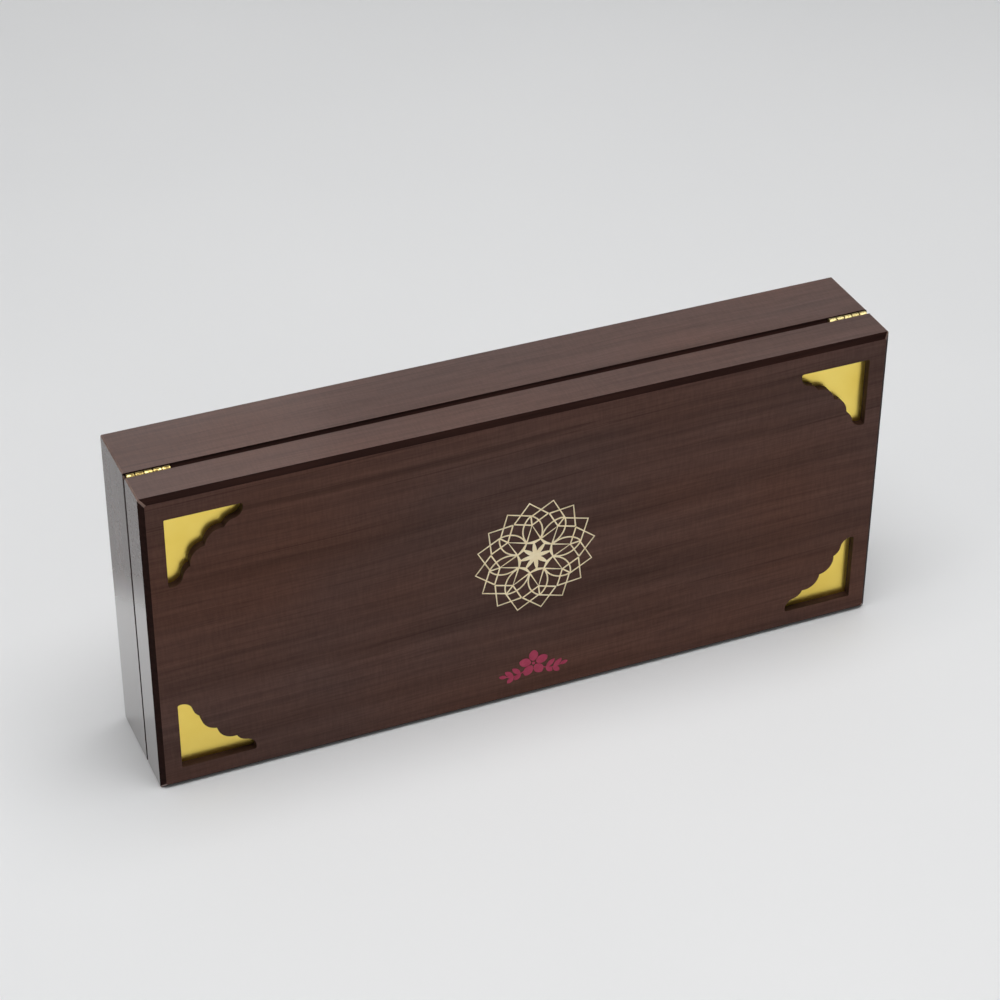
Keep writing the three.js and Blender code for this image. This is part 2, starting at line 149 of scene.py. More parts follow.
def rod(name, radius, start, end, axis, sides):
    """A cylinder between two points that lie along the axis x or y."""
    work = bmesh.new()
    length = (Vector(end) - Vector(start)).length
    turn = Matrix.Rotation(math.pi / 2, 4, "Y" if axis == "x" else "X")
    bmesh.ops.create_cone(work, cap_ends=True, segments=sides, radius1=radius, radius2=radius, depth=length,
                          matrix=Matrix.Translation((Vector(start) + Vector(end)) / 2) @ turn)
    return add_object(name, mesh_from(name, work))


def hinge_rod(name, radius, x0, x1, sides):
    """A cylinder on the hinge axis."""
    return rod(name, radius, (x0, AXIS_Y, AXIS_Z), (x1, AXIS_Y, AXIS_Z), "x", sides)


def lathe(name, profile, centre, way, sides):
    """A closed turned solid on a Y axis; profile is (radius, depth), way the sense of depth along Y."""
    work = bmesh.new()
    angles = [2 * math.pi * i / sides for i in range(sides)]
    rings = []
    for radius, depth in profile:
        y = centre[1] + way * depth
        if radius == 0:
            rings.append([work.verts.new((centre[0], y, centre[2]))])
            continue
        rings.append([work.verts.new((centre[0] + radius * math.cos(a), y, centre[2] + radius * math.sin(a)))
                      for a in angles])
    for one, other in zip(rings, rings[1:]):
        for i in range(sides):
            j = (i + 1) % sides
            corners = [one[i % len(one)], one[j % len(one)], other[j % len(other)], other[i % len(other)]]
            work.faces.new(list(dict.fromkeys(corners)))
    bmesh.ops.recalc_face_normals(work, faces=work.faces)
    return add_object(name, mesh_from(name, work))


def combine(piece, others, operation, overlapping=False):
    """Joins or cuts a piece with others, which are used up; overlapping if the piece laps itself."""
    for other in others:
        step = piece.modifiers.new("combine", "BOOLEAN")
        step.operation = operation
        step.solver = "EXACT"
        step.use_self = overlapping
        step.object = other
    settle(piece)
    for other in others:
        bpy.data.objects.remove(other)
    return piece


def bevel(piece, width, segments, angle=30, material=-1):
    """Rounds the edges, with normals that leave the broad faces flat."""
    piece.data.shade_smooth()
    step = piece.modifiers.new("bevel", "BEVEL")
    step.width = width
    step.segments = segments
    step.limit_method = "ANGLE"
    step.angle_limit = math.radians(angle)
    step.material = material
    normals = piece.modifiers.new("broad_faces_first", "WEIGHTED_NORMAL")
    normals.weight = 100
    normals.thresh = 0.01
    return settle(piece)


def finish_with(piece, *materials):
    piece.data.materials.clear()
    for material in materials:
        piece.data.materials.append(material)
    return piece


def declare(piece, body, slot, *nodes):
    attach(piece, body)
    if nodes:
        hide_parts(*nodes)
    return piece


def middle_on_rim(node, half):
    """The middle of a node's box, moved in Y onto the rim of its half."""
    low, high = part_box(node)
    return ((low.x + high.x) / 2, RIM[half], (low.z + high.z) / 2)


# ---- outlines --------------------------------------------------------------------------------
def arc_through(a, b, c, steps):
    """Points on the arc from a through b to c, without a."""
    (ax, ay), (bx, by), (cx, cy) = a, b, c
    d = 2 * (ax * (by - cy) + bx * (cy - ay) + cx * (ay - by))
    aa, bb, cc = (x * x + y * y for x, y in (a, b, c))
    ox = (aa * (by - cy) + bb * (cy - ay) + cc * (ay - by)) / d
    oy = (aa * (cx - bx) + bb * (ax - cx) + cc * (bx - ax)) / d
    radius = math.hypot(ax - ox, ay - oy)
    start = math.atan2(ay - oy, ax - ox)

    def turn(point):
        return (math.atan2(point[1] - oy, point[0] - ox) - start) % (2 * math.pi)

    sweep = turn(c) if turn(b) < turn(c) else turn(c) - 2 * math.pi
    angles = [start + sweep * (i + 1) / steps for i in range(steps)]
    return [(ox + radius * math.cos(t), oy + radius * math.sin(t)) for t in angles]


def window_outline():
    """One window in its own corner, in millimetres: u along the long edge, v down the short one."""
    edge_end, tip_end, nose_end = (43.8, 0), (45, 1.2), (40, 8.7)
    lobe_end, diagonal = (33.7, 13.3), (22.3, 22.3)
    tip = arc_through(edge_end, (44.65, 0.35), tip_end, 4)
    nose = arc_through(tip_end, (43.9, 6), nose_end, 14)
    small_lobe = arc_through(nose_end, (36, 10.3), lobe_end, 10)
    large_lobe = arc_through(lobe_end, (25.5, 15.9), diagonal, 18)
    half = [edge_end, *tip, *nose, *small_lobe, *large_lobe]
    mirrored = [(v, u) for u, v in half[:-1]]
    corner_start = (0, 0.7)
    corner = arc_through(corner_start, (0.2, 0.2), (0.7, 0), 4)
    return [corner_start, *corner, *half, *mirrored[::-1]]


def in_corner(way_x, way_z, u, v):
    """A point u along and v down from a corner of the case, in millimetres, as x and z."""
    x = way_x * (HALF - u * MM)
    z = HEIGHT - v * MM if way_z > 0 else v * MM
    return x, z


def window_cutter(way_x, way_z):
    drop = WINDOW_TOP if way_z > 0 else WINDOW_BOTTOM
    points = [in_corner(way_x, way_z, u + WINDOW_SIDE, v + drop) for u, v in window_outline()]
    return prism("window", points, FACE_Y - 1 * MM, BOARD_BACK + 0.5 * MM)


# ---- materials -------------------------------------------------------------------------------
class Finish:
    """A Principled material under construction, with short calls for its nodes."""

    def __init__(self, name, **settings):
        self.material = bpy.data.materials.new(name)
        self.material.use_nodes = True
        self.tree = self.material.node_tree
        self.shader = self.tree.nodes["Principled BSDF"]
        for label, value in settings.items():
            self.shader.inputs[label.replace("_", " ")].default_value = value
        self.place = self.add("ShaderNodeTexCoord").outputs["Object"]

    def add(self, kind, **settings):
        node = self.tree.nodes.new(kind)
        for label, value in settings.items():
            setattr(node, label, value)
        return node

    def feed(self, socket, value):
        if isinstance(value, bpy.types.NodeSocket):
            self.tree.links.new(value, socket)
        else:
            socket.default_value = value

    def mapped(self, scale, turn=(0, 0, 0), vector=None):
        node = self.add("ShaderNodeMapping")
        self.feed(node.inputs["Vector"], vector or self.place)
        node.inputs["Scale"].default_value = scale
        node.inputs["Rotation"].default_value = turn
        return node.outputs["Vector"]

    def noise(self, vector, scale=1.0, detail=3.0, roughness=0.5, distortion=0.0, output="Fac"):
        node = self.add("ShaderNodeTexNoise")
        self.feed(node.inputs["Vector"], vector)
        node.inputs["Scale"].default_value = scale
        node.inputs["Detail"].default_value = detail
        node.inputs["Roughness"].default_value = roughness
        node.inputs["Distortion"].default_value = distortion
        return node.outputs[output]

    def ramp(self, value, stops):
        node = self.add("ShaderNodeValToRGB")
        self.feed(node.inputs["Fac"], value)
        elements = node.color_ramp.elements
        while len(elements) < len(stops):
            elements.new(0.5)
        for element, (position, colour) in zip(elements, stops):
            element.position = position
            element.color = (*colour, 1) if hasattr(colour, "__len__") else (colour, colour, colour, 1)
        return node.outputs["Color"]

    def math(self, operation, a, b=0.5):
        node = self.add("ShaderNodeMath", operation=operation)
        self.feed(node.inputs[0], a)
        self.feed(node.inputs[1], b)
        return node.outputs[0]

    def mix(self, factor, a, b, blend="MIX"):
        node = self.add("ShaderNodeMix", data_type="RGBA", blend_type=blend)
        self.feed(node.inputs[0], factor)
        for socket, value in ((node.inputs[6], a), (node.inputs[7], b)):
            self.feed(socket, value if isinstance(value, bpy.types.NodeSocket) else (*value, 1))
        return node.outputs[2]

    def multiply(self, tone, *shades):
        for shade in shades:
            tone = self.mix(1.0, tone, shade, "MULTIPLY")
        return tone

    def axes(self):
        node = self.add("ShaderNodeSeparateXYZ")
        self.feed(node.inputs[0], self.place)
        return node.outputs

    def past_mitre(self):
        """Distance past the mitre line of the nearest corner: below zero on the upright boards."""
        x, _, z = self.axes()
        across = self.math("SUBTRACT", HALF, self.math("ABSOLUTE", x))
        from_middle = self.math("ABSOLUTE", self.math("SUBTRACT", z, HEIGHT / 2))
        return self.math("SUBTRACT", across, self.math("SUBTRACT", HEIGHT / 2, from_middle))

    def bump(self, height, strength, distance):
        node = self.add("ShaderNodeBump")
        node.inputs["Strength"].default_value = strength
        node.inputs["Distance"].default_value = distance
        self.feed(node.inputs["Height"], height)
        return node.outputs["Normal"]

    def colour(self, socket):
        self.set("Base Color", socket)

    def set(self, label, socket):
        self.feed(self.shader.inputs[label], socket)

    def mottle(self, scale, *stops, detail=3.0, roughness=0.5):
        """Colours the surface by a noise over the stops, and returns the noise."""
        clouds = self.noise(self.place, scale, detail, roughness)
        self.colour(self.ramp(clouds, stops))
        return clouds


WALNUT = ((0.084, 0.042, 0.031), (0.105, 0.055, 0.0425), (0.123, 0.066, 0.052))  # dark, middle, light
GRAIN_LIE = math.radians(1.1)  # how far the grain runs off the board's own direction
GRAIN_SWAY = 10 * MM
JOINT_LINE = 0.09 * MM


def scaled(colour, factor):
    return tuple(v * factor for v in colour)


def walnut(name, grain, shade=1.0, contrast=1.0, open_pored=True, **settings):
    """Figured dark walnut under clear lacquer. grain is the board's direction: x, z or mitred."""
    finish = Finish(name, **settings)
    dark, middle, light = (scaled(colour, shade) for colour in WALNUT)
    level = finish.mapped((1, 1, 1), (0, GRAIN_LIE, 0))
    upright = finish.mapped((1, 1, 1), (0, math.pi / 2 + GRAIN_LIE, 0))
    if grain == "mitred":
        chosen = finish.add("ShaderNodeMix", data_type="VECTOR")
        finish.feed(chosen.inputs[0], finish.math("LESS_THAN", finish.past_mitre(), 0.0))
        finish.feed(chosen.inputs[4], level)
        finish.feed(chosen.inputs[5], upright)
        along = chosen.outputs[1]
    else:
        along = level if grain == "x" else upright
    waves = finish.noise(finish.mapped((4, 4, 9), vector=along), detail=2.0, output="Color")
    sway = finish.add("ShaderNodeVectorMath", operation="SCALE")
    finish.feed(sway.inputs[0], waves)
    sway.inputs["Scale"].default_value = GRAIN_SWAY
    swayed = finish.add("ShaderNodeVectorMath", operation="ADD")
    finish.feed(swayed.inputs[0], along)
    finish.feed(swayed.inputs[1], sway.outputs[0])

    def figure(scale, detail, roughness):
        return finish.noise(finish.mapped(scale, vector=swayed.outputs[0]), 1.0, detail, roughness)

    bands = figure((1.2, 34, 34), 4.0, 0.6)
    streaks = figure((5, 210, 210), 5.0, 0.62)
    fibres = figure((26, 1100, 1100), 3.0, 0.6)
    flecks = figure((900, 140, 140), 2.0, 0.5)
    patches = figure((5, 9, 9), 2.0, 0.5)
    lines = figure((0.9, 150, 150), 2.0, 0.5)

    tone = finish.multiply(
        finish.ramp(bands, [(0.30, dark), (0.50, middle), (0.72, light)]),
        finish.ramp(streaks, [(0.28, 1 - 0.24 * contrast), (0.52, 1.0), (0.78, 1 + 0.16 * contrast)]),
        finish.ramp(fibres, [(0.30, 1 - 0.22 * contrast), (0.6, 1.0)]),
        finish.ramp(flecks, [(0.35, 0.93), (0.65, 1.06)]))
    line_mask = finish.ramp(lines, [(0.655, 0.0), (0.675, 1.0), (0.69, 1.0), (0.71, 0.0)])
    tone = finish.mix(finish.math("MULTIPLY", line_mask, 0.45 * contrast), tone, scaled(dark, 0.45))
    warmth = finish.ramp(patches, [(0.36, (0.94, 1.0, 1.07)), (0.64, (1.08, 0.98, 0.92))])
    finish.colour(finish.multiply(tone, warmth))
    finish.set("Roughness", finish.ramp(fibres, [(0.3, 0.55), (0.7, 0.42)]))
    if open_pored:
        finish.set("Normal", finish.bump(fibres, 0.10, 0.2 * MM))
    return finish


def face_wood():
    """The lid's face and the back panel, satin."""
    return walnut("walnut_face_satin", "x", Specular_IOR_Level=0.04)


def top_wood():
    """The upper and lower boards, lacquered."""
    return walnut("walnut_edge_grain_lacquered", "x", contrast=0.8, Coat_Weight=1.0, Coat_Roughness=0.12,
                  Coat_IOR=1.65, Specular_IOR_Level=0.15)


def side_wood():
    """The end boards, high gloss, with a softer gloss above a line that slants down towards the back."""
    finish = walnut("walnut_end_high_gloss", "z", shade=0.6, contrast=0.5, open_pored=False,
                    Coat_Roughness=0.02, Coat_IOR=1.5, Specular_IOR_Level=0.4)
    slant, line_height, fade = 0.575, 90 * MM, 52 * MM
    _, y, z = finish.axes()
    height = finish.math("ADD", z, finish.math("MULTIPLY", y, slant))
    soft = finish.math("DIVIDE", finish.math("SUBTRACT", height, line_height), fade)
    finish.set("Coat Weight", finish.ramp(soft, [(0.2, 1.0), (0.8, 0.7)]))
    finish.set("Roughness", finish.ramp(soft, [(0.2, 0.05), (0.8, 0.75)]))
    return finish


def rim_wood():
    """Mitred frame boards, satin: the grain turns at the corners, where fine joint lines show."""
    finish = walnut("walnut_rim_mitred", "mitred", Coat_Weight=0.3, Coat_Roughness=0.3)
    joint = finish.math("LESS_THAN", finish.math("ABSOLUTE", finish.past_mitre()), JOINT_LINE)
    tone = finish.shader.inputs["Base Color"].links[0].from_socket
    finish.colour(finish.mix(joint, tone, (0.008, 0.004, 0.003)))
    return finish


def chamfer_lacquer():
    """The stained chamfers and the V-groove, close to black."""
    finish = Finish("chamfer_stained_dark", Roughness=0.6, Specular_IOR_Level=0.04)
    fibres = finish.noise(finish.mapped((20, 500, 500)))
    finish.colour(finish.ramp(fibres, [(0.3, (0.012, 0.0042, 0.003)), (0.7, (0.024, 0.0090, 0.0065))]))
    return finish


def window_wall():
    """The cut walls of the windows, stained dark red-brown."""
    finish = Finish("window_wall_stained", Roughness=0.5, Specular_IOR_Level=0.1)
    fibres = finish.noise(finish.mapped((90, 400, 90)))
    finish.colour(finish.ramp(fibres, [(0.3, (0.030, 0.013, 0.009)), (0.7, (0.055, 0.026, 0.019))]))
    return finish


def edge_highlight_lacquer():
    """The rounded edges and corners: their colour, lighter than the wood, is a painted highlight, under a
    glossy coat.
    """
    finish = Finish("walnut_edge_painted_highlight", Coat_Weight=0.9, Coat_Roughness=0.06, Roughness=0.4,
                    Specular_IOR_Level=0.2)
    finish.mottle(60.0, (0.35, (0.10, 0.055, 0.042)), (0.7, (0.22, 0.14, 0.11)), detail=4.0, roughness=0.6)
    return finish


def gilt():
    """Satin gold-toned plate, faintly clouded and brushed."""
    finish = Finish("corner_plate_satin_gilt", Metallic=1.0)
    clouds = finish.mottle(28.0, (0.3, (0.90, 0.66, 0.125)), (0.7, (0.97, 0.75, 0.18)))
    brushing = finish.noise(finish.mapped((40, 1, 900)), detail=2.0)
    finish.set("Roughness", finish.ramp(brushing, [(0.3, 0.28), (0.7, 0.31)]))
    finish.set("Normal", finish.bump(clouds, 0.05, 0.6 * MM))
    return finish


def hinge_brass(name, tarnish_and_shade):
    """Polished brass, with tarnish in patches; a higher second argument widens and darkens them, and on the
    left hinge this added dark is painted shade for the dark surroundings that its brass reflects.
    """
    finish = Finish(name, Metallic=1.0)
    edge = 0.3 + 0.4 * tarnish_and_shade
    patches = finish.mottle(480.0, (edge - 0.1, (0.17, 0.12, 0.04)), (edge + 0.04, (0.58, 0.44, 0.15)),
                            (edge + 0.24, (0.92, 0.77, 0.36)), roughness=0.6)
    finish.set("Roughness", finish.ramp(patches, [(edge - 0.1, 0.5), (edge + 0.1, 0.36 - 0.2 * tarnish_and_shade)]))
    return finish


def pin_metal():
    """The hinge pins, coloured dark: painted shade in the gaps between the knuckles."""
    finish = Finish("hinge_pin_painted_shade", Metallic=1.0)
    pin_shade = finish.mottle(600.0, (0.3, (0.10, 0.065, 0.02)), (0.7, (0.22, 0.15, 0.05)), roughness=0.6)
    finish.set("Roughness", finish.ramp(pin_shade, [(0.3, 0.5), (0.7, 0.35)]))
    return finish


def champagne_metal():
    finish = Finish("rosette_champagne_metal", Metallic=0.5, Roughness=0.42)
    finish.mottle(240.0, (0.3, (0.92, 0.76, 0.47)), (0.7, (1.0, 0.88, 0.62)), roughness=0.6)
    return finish


def rose_enamel():
    finish = Finish("blossom_rose_enamel", Roughness=0.45, Specular_IOR_Level=0.15)
    finish.mottle(300.0, (0.3, (0.38, 0.040, 0.090)), (0.7, (0.47, 0.062, 0.122)), roughness=0.6)
    return finish


def nickel():
    finish = Finish("magnet_nickel", Metallic=1.0, Roughness=0.22)
    finish.mottle(500.0, (0.3, (0.52, 0.52, 0.53)), (0.7, (0.66, 0.66, 0.67)), detail=2.0)
    return finish


def pale_card():
    finish = Finish("floor_pale_card", Roughness=0.6, Specular_IOR_Level=0.3)
    finish.mottle(1.5, (0.3, (0.79, 0.795, 0.80)), (0.7, (0.83, 0.832, 0.835)))
    return finish


def velvet():
    """Short-pile wine-red velvet: sheen at grazing angles and brushed patches in the pile."""
    finish = Finish("lining_wine_velvet", Roughness=0.95, Sheen_Weight=0.9, Sheen_Roughness=0.35,
                    Sheen_Tint=(0.75, 0.22, 0.28, 1))
    pile = finish.noise(finish.place, 2600.0, 2.0, 0.6)
    brushed = finish.noise(finish.place, 17.0, 3.0, 0.55, 0.6)
    tone = finish.ramp(brushed, [(0.35, (0.060, 0.004, 0.012)), (0.65, (0.115, 0.010, 0.024))])
    finish.colour(finish.multiply(tone, finish.ramp(pile, [(0.25, 0.55), (0.7, 1.1)])))
    finish.set("Normal", finish.bump(pile, 0.5, 0.4 * MM))
    return finish


FACE_WOOD = face_wood().material
TOP_WOOD = top_wood().material
SIDE_WOOD = side_wood().material
CHAMFER = chamfer_lacquer().material
WINDOW_WALL = window_wall().material
RIM_WOOD = rim_wood().material
PAINTED_EDGE_HIGHLIGHT = edge_highlight_lacquer().material
SHELL_FINISHES = (FACE_WOOD, TOP_WOOD, SIDE_WOOD, CHAMFER, WINDOW_WALL, RIM_WOOD, PAINTED_EDGE_HIGHLIGHT)
GILT = gilt().material
# The left hinge's brass is darkened further as painted shade, for the dark surroundings that it reflects.
BRASS = {"left": hinge_brass("hinge_brass_tarnish_and_painted_shade", 0.5).material,
         "right": hinge_brass("hinge_brass_bright", -0.1).material}
PIN_METAL = pin_metal().material
CHAMPAGNE = champagne_metal().material
ROSE = rose_enamel().material
VELVET = velvet().material
NICKEL = nickel().material


# ---- the two lacquered shells ----------------------------------------------------------------
def outer_box(name, y0, y1):
    return block(name, (-HALF, y0, 0), (HALF, y1, HEIGHT))


def cavity(inset, y0, y1):
    return block("cavity", (-HALF + inset, y0, inset), (HALF - inset, y1, HEIGHT - inset))


def near(a, b, reach=0.01 * MM):
    return abs(a - b) < reach


def on_outline(at):
    """Whether a point is on the case's left, right or bottom face."""
    return near(abs(at.x), HALF) or near(at.z, 0)


def at_corner(at, way):
    """Whether an edge runs through a corner: along Y, or along a mitre of the chamfers."""
    slanting = abs(way.x) > 0.1 and abs(way.z) > 0.1
    return slanting or (abs(way.y) > 0.99 and near(abs(at.x), HALF))


def chamfer_edges(piece, width, wanted, segments=1):
    """Planes off or rounds the edges that the test wanted(middle, direction) picks."""
    work = bmesh.new()
    work.from_mesh(piece.data)
    edges = [e for e in work.edges
             if wanted((e.verts[0].co + e.verts[1].co) / 2, (e.verts[1].co - e.verts[0].co).normalized())]
    bmesh.ops.bevel(work, geom=edges, offset=width, offset_type="OFFSET", segments=segments, profile=0.5,
                    affect="EDGES")
    work.to_mesh(piece.data)
    work.free()


def hinge_pockets(half):
    """Recesses for the leaves and barrels of both hinges in one half's rim."""
    cutters = []
    for side in HINGE_SIDES:
        low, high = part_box(f"hinge_{side}_{half}_leaf")
        x0, x1 = low.x - HINGE_PLAY, high.x + HINGE_PLAY
        y0, y1 = sorted((RIM[half] - WAY[half] * MM, RIM[half] + WAY[half] * MORTISE_DEPTH))
        cutters.append(block("mortise", (x0, y0, low.z - HINGE_PLAY), (x1, y1, AXIS_Z)))
        cutters.append(hinge_rod("barrel_pocket", high.z - AXIS_Z + HINGE_PLAY, x0, x1, CUTTER_SIDES))
    return cutters


def magnet_pockets(half):
    cutters = []
    for side in HINGE_SIDES:
        low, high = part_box(f"magnet_{half}_{side}")
        at = (low + high) / 2
        radius = (high.x - low.x) / 2 + MAGNET_PLAY
        mouth = at.y - WAY[half] * MAGNET_DEPTH
        bottom = at.y + WAY[half] * (MAGNET_DEPTH / 2 + MAGNET_PLAY)
        start, end = ((at.x, y, at.z) for y in sorted((mouth, bottom)))
        cutters.append(rod("magnet_pocket", radius, start, end, "y", CUTTER_SIDES))
    return cutters


def board_finish(normal, centre):
    """The finish of the board surface that a shell's face belongs to."""
    # Faces that round a corner of the case take the painted edge highlight.
    if abs(normal.x) > 0.1 and abs(normal.z) > 0.1 and near(abs(centre.x), HALF, 4 * MM):
        return PAINTED_EDGE_HIGHLIGHT
    if 0.3 < abs(normal.y) < 0.99:
        return CHAMFER
    if near(centre.y, FACE_Y):
        return FACE_WOOD
    if near(centre.y, BACK_Y):
        return RIM_WOOD
    if near(abs(centre.x), HALF) and abs(normal.x) > 0.9:
        return SIDE_WOOD
    if (near(centre.z, HEIGHT) or near(centre.z, 0)) and abs(normal.z) > 0.9:
        return TOP_WOOD
    return WINDOW_WALL if centre.y < BOARD_BACK else RIM_WOOD


def complete_shell(shell, half, cutters, *nodes):
    """Cuts a shell, gives each of its surfaces its finish and rounds its edges."""
    combine(shell, cutters + hinge_pockets(half) + magnet_pockets(half), "DIFFERENCE")
    finish_with(shell, *SHELL_FINISHES)
    for face in shell.data.polygons:
        face.material_index = SHELL_FINISHES.index(board_finish(face.normal, face.center))
    # The bevel's rounded strips take the painted edge highlight.
    bevel(shell, EDGE_ROUND, 3, material=SHELL_FINISHES.index(PAINTED_EDGE_HIGHLIGHT))
    return declare(shell, half, "lacquered_walnut", *nodes, *(f"{half}_wall_{side}" for side in WALL_SIDES))


def chamfer_rim(shell, rim):
    """The shell's share of the V-groove, and a small arris round the rest of its rim."""
    chamfer_edges(shell, GROOVE_CHAMFER, lambda at, way: near(at.y, rim) and near(at.z, HEIGHT))
    chamfer_edges(shell, RIM_ARRIS, lambda at, way: near(at.y, rim) and on_outline(at))


def lid_shell():
    shell = outer_box("lid_shell", FACE_Y, RIM["lid"])
    chamfer_edges(shell, FACE_CHAMFER, lambda at, way: near(at.y, FACE_Y))
    chamfer_rim(shell, RIM["lid"])
    chamfer_edges(shell, CORNER_ROUND, at_corner, 3)
    cutters = [cavity(WALL, BOARD_BACK, RIM["lid"] + OVERSHOOT)]
    cutters += [window_cutter(*ways) for ways in CORNERS.values()]
    return complete_shell(shell, "lid", cutters, "lid_face_board")


def base_shell():
    shell = outer_box("base_shell", RIM["base"], BACK_Y)
    chamfer_rim(shell, RIM["base"])
    chamfer_edges(shell, BACK_ARRIS, lambda at, way: near(at.y, BACK_Y))
    chamfer_edges(shell, CORNER_ROUND, at_corner, 3)
    cutters = [cavity(WALL, RIM["base"] - OVERSHOOT, BACK_Y + OVERSHOOT),
               cavity(panel_low.z - PANEL_PLAY, panel_low.y, BACK_Y + OVERSHOOT)]
    return complete_shell(shell, "base", cutters)


def back_panel():
    panel = block("back_panel", panel_low, panel_high)
    finish_with(panel, FACE_WOOD)
    bevel(panel, PANEL_ROUND, 2)
    return declare(panel, "base", "lacquered_walnut", "base_back_panel")


# ---- hinges, screws and magnets --------------------------------------------------------------
LEAF = 0.9 * MM
PIN_RADIUS = 0.8 * MM
PIN_PLAY = 0.06 * MM
KNUCKLES = 5
KNUCKLE_GAP = 0.4 * MM
KNUCKLE_EASE = 0.2 * MM  # taken off each end of a knuckle
SINK_RADIUS = 1.82 * MM
SHANK_HOLE = 0.92 * MM
SINK_PROFILE = [(0, -MM), (SINK_RADIUS + MM, -MM), (SINK_RADIUS, 0.05 * MM), (SHANK_HOLE, LEAF),
                (SHANK_HOLE, 2 * MM), (0, 2 * MM)]
SCREW = {"Head Radius": 1.7 * MM, "Shank Radius": 0.8 * MM, "Head Depth": 0.78 * MM, "Length": 8 * MM,
         "Slot Width": 0.5 * MM, "Slot Depth": 0.45 * MM}
SCREW_TIP = 0.2 * MM
LEAF_ROUND, PIN_ROUND, SCREW_ROUND, MAGNET_ROUND = 0.15 * MM, 0.25 * MM, 0.06 * MM, 0.15 * MM
DISH_DEPTH, DISH_EDGE, LIP = 0.05 * MM, 0.5 * MM, 0.4 * MM  # a magnet's shallow dish inside its lip


def hinge_leaf(side, half):
    """A leaf with its own knuckles: three on the base, two on the lid."""
    node = f"hinge_{side}_{half}_leaf"
    low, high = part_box(node)
    barrel_low, barrel_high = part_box(f"hinge_{side}_base_leaf")
    radius = high.z - AXIS_Z
    pitch = (barrel_high.x - barrel_low.x + KNUCKLE_GAP) / KNUCKLES
    y0, y1 = sorted((RIM[half], RIM[half] + WAY[half] * LEAF))
    plate_top = AXIS_Z - radius - 2 * KNUCKLE_GAP
    leaf = block(node + "_fine", (barrel_low.x, y0, low.z), (barrel_high.x, y1, plate_top))
    parts = []
    for k in range(HALVES.index(half), KNUCKLES, 2):
        x0 = barrel_low.x + k * pitch + KNUCKLE_EASE
        x1 = barrel_low.x + (k + 1) * pitch - KNUCKLE_GAP - KNUCKLE_EASE
        parts.append(hinge_rod("knuckle", radius, x0, x1, CUTTER_SIDES))
        parts.append(block("tab", (x0, y0, plate_top - LEAF), (x1, y1, AXIS_Z - PIN_RADIUS)))
    combine(leaf, parts, "UNION")
    cutters = [hinge_rod("bore", PIN_RADIUS + PIN_PLAY, low.x - MM, high.x + MM, 32)]
    cutters += [lathe("sink", SINK_PROFILE, middle_on_rim(f"screw_{half}_{side}_{end}", half), WAY[half], 32)
                for end in "ab"]
    combine(leaf, cutters, "DIFFERENCE")
    finish_with(leaf, BRASS[side])
    bevel(leaf, LEAF_ROUND, 2, 35)
    return declare(leaf, half, "hinge_brass", node)


def hinge_pin(side):
    node = f"hinge_{side}_pin"
    low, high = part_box(node)
    pin = hinge_rod(f"{node}_fine", PIN_RADIUS, low.x, high.x, 32)
    finish_with(pin, PIN_METAL)
    bevel(pin, PIN_ROUND, 3)
    return declare(pin, "base", "hinge_brass", node)


class Geometry:
    """A Geometry Nodes tree under construction."""

    def __init__(self, name, inputs):
        self.tree = bpy.data.node_groups.new(name, "GeometryNodeTree")
        face = self.tree.interface
        face.new_socket("Geometry", in_out="INPUT", socket_type="NodeSocketGeometry")
        self.ids = {}
        for label, kind in inputs.items():
            socket = face.new_socket(label, in_out="INPUT", socket_type=kind)
            self.ids[label] = socket.identifier
        face.new_socket("Geometry", in_out="OUTPUT", socket_type="NodeSocketGeometry")
        self.start = self.tree.nodes.new("NodeGroupInput")
        self.end = self.tree.nodes.new("NodeGroupOutput")

    def value(self, label):
        return self.start.outputs[label]

    def node(self, kind, inputs=None, **settings):
        made = self.tree.nodes.new(kind)
        for label, value in settings.items():
            setattr(made, label, value)
        for label, value in (inputs or {}).items():
            socket = made.inputs[label]
            if isinstance(value, bpy.types.NodeSocket):
                self.tree.links.new(value, socket)
            elif isinstance(value, list):
                for one in value:
                    self.tree.links.new(one, socket)
            else:
                socket.default_value = value
        return made.outputs[0]

    def math(self, operation, a, b):
        return self.node("ShaderNodeMath", {0: a, 1: b}, operation=operation)

    def vector(self, x=0.0, y=0.0, z=0.0):
        return self.node("ShaderNodeCombineXYZ", {0: x, 1: y, 2: z})

    def rotation(self, euler):
        return self.node("FunctionNodeEulerToRotation", {0: euler})

    def lowered(self, geometry, depth):
        """The geometry moved down its own Z axis by depth."""
        return self.node("GeometryNodeTransform", {
            "Geometry": geometry, "Translation": self.vector(z=self.math("MULTIPLY", depth, -1.0))})

    def close(self, geometry, material):
        real = self.node("GeometryNodeRealizeInstances", {0: geometry})
        painted = self.node("GeometryNodeSetMaterial", {"Geometry": real, "Material": material})
        self.tree.links.new(painted, self.end.inputs[0])

    def on(self, piece, values):
        step = piece.modifiers.new("made_by_rule", "NODES")
        step.node_group = self.tree
        for label, value in values.items():
            step[self.ids[label]] = value
        return settle(piece)


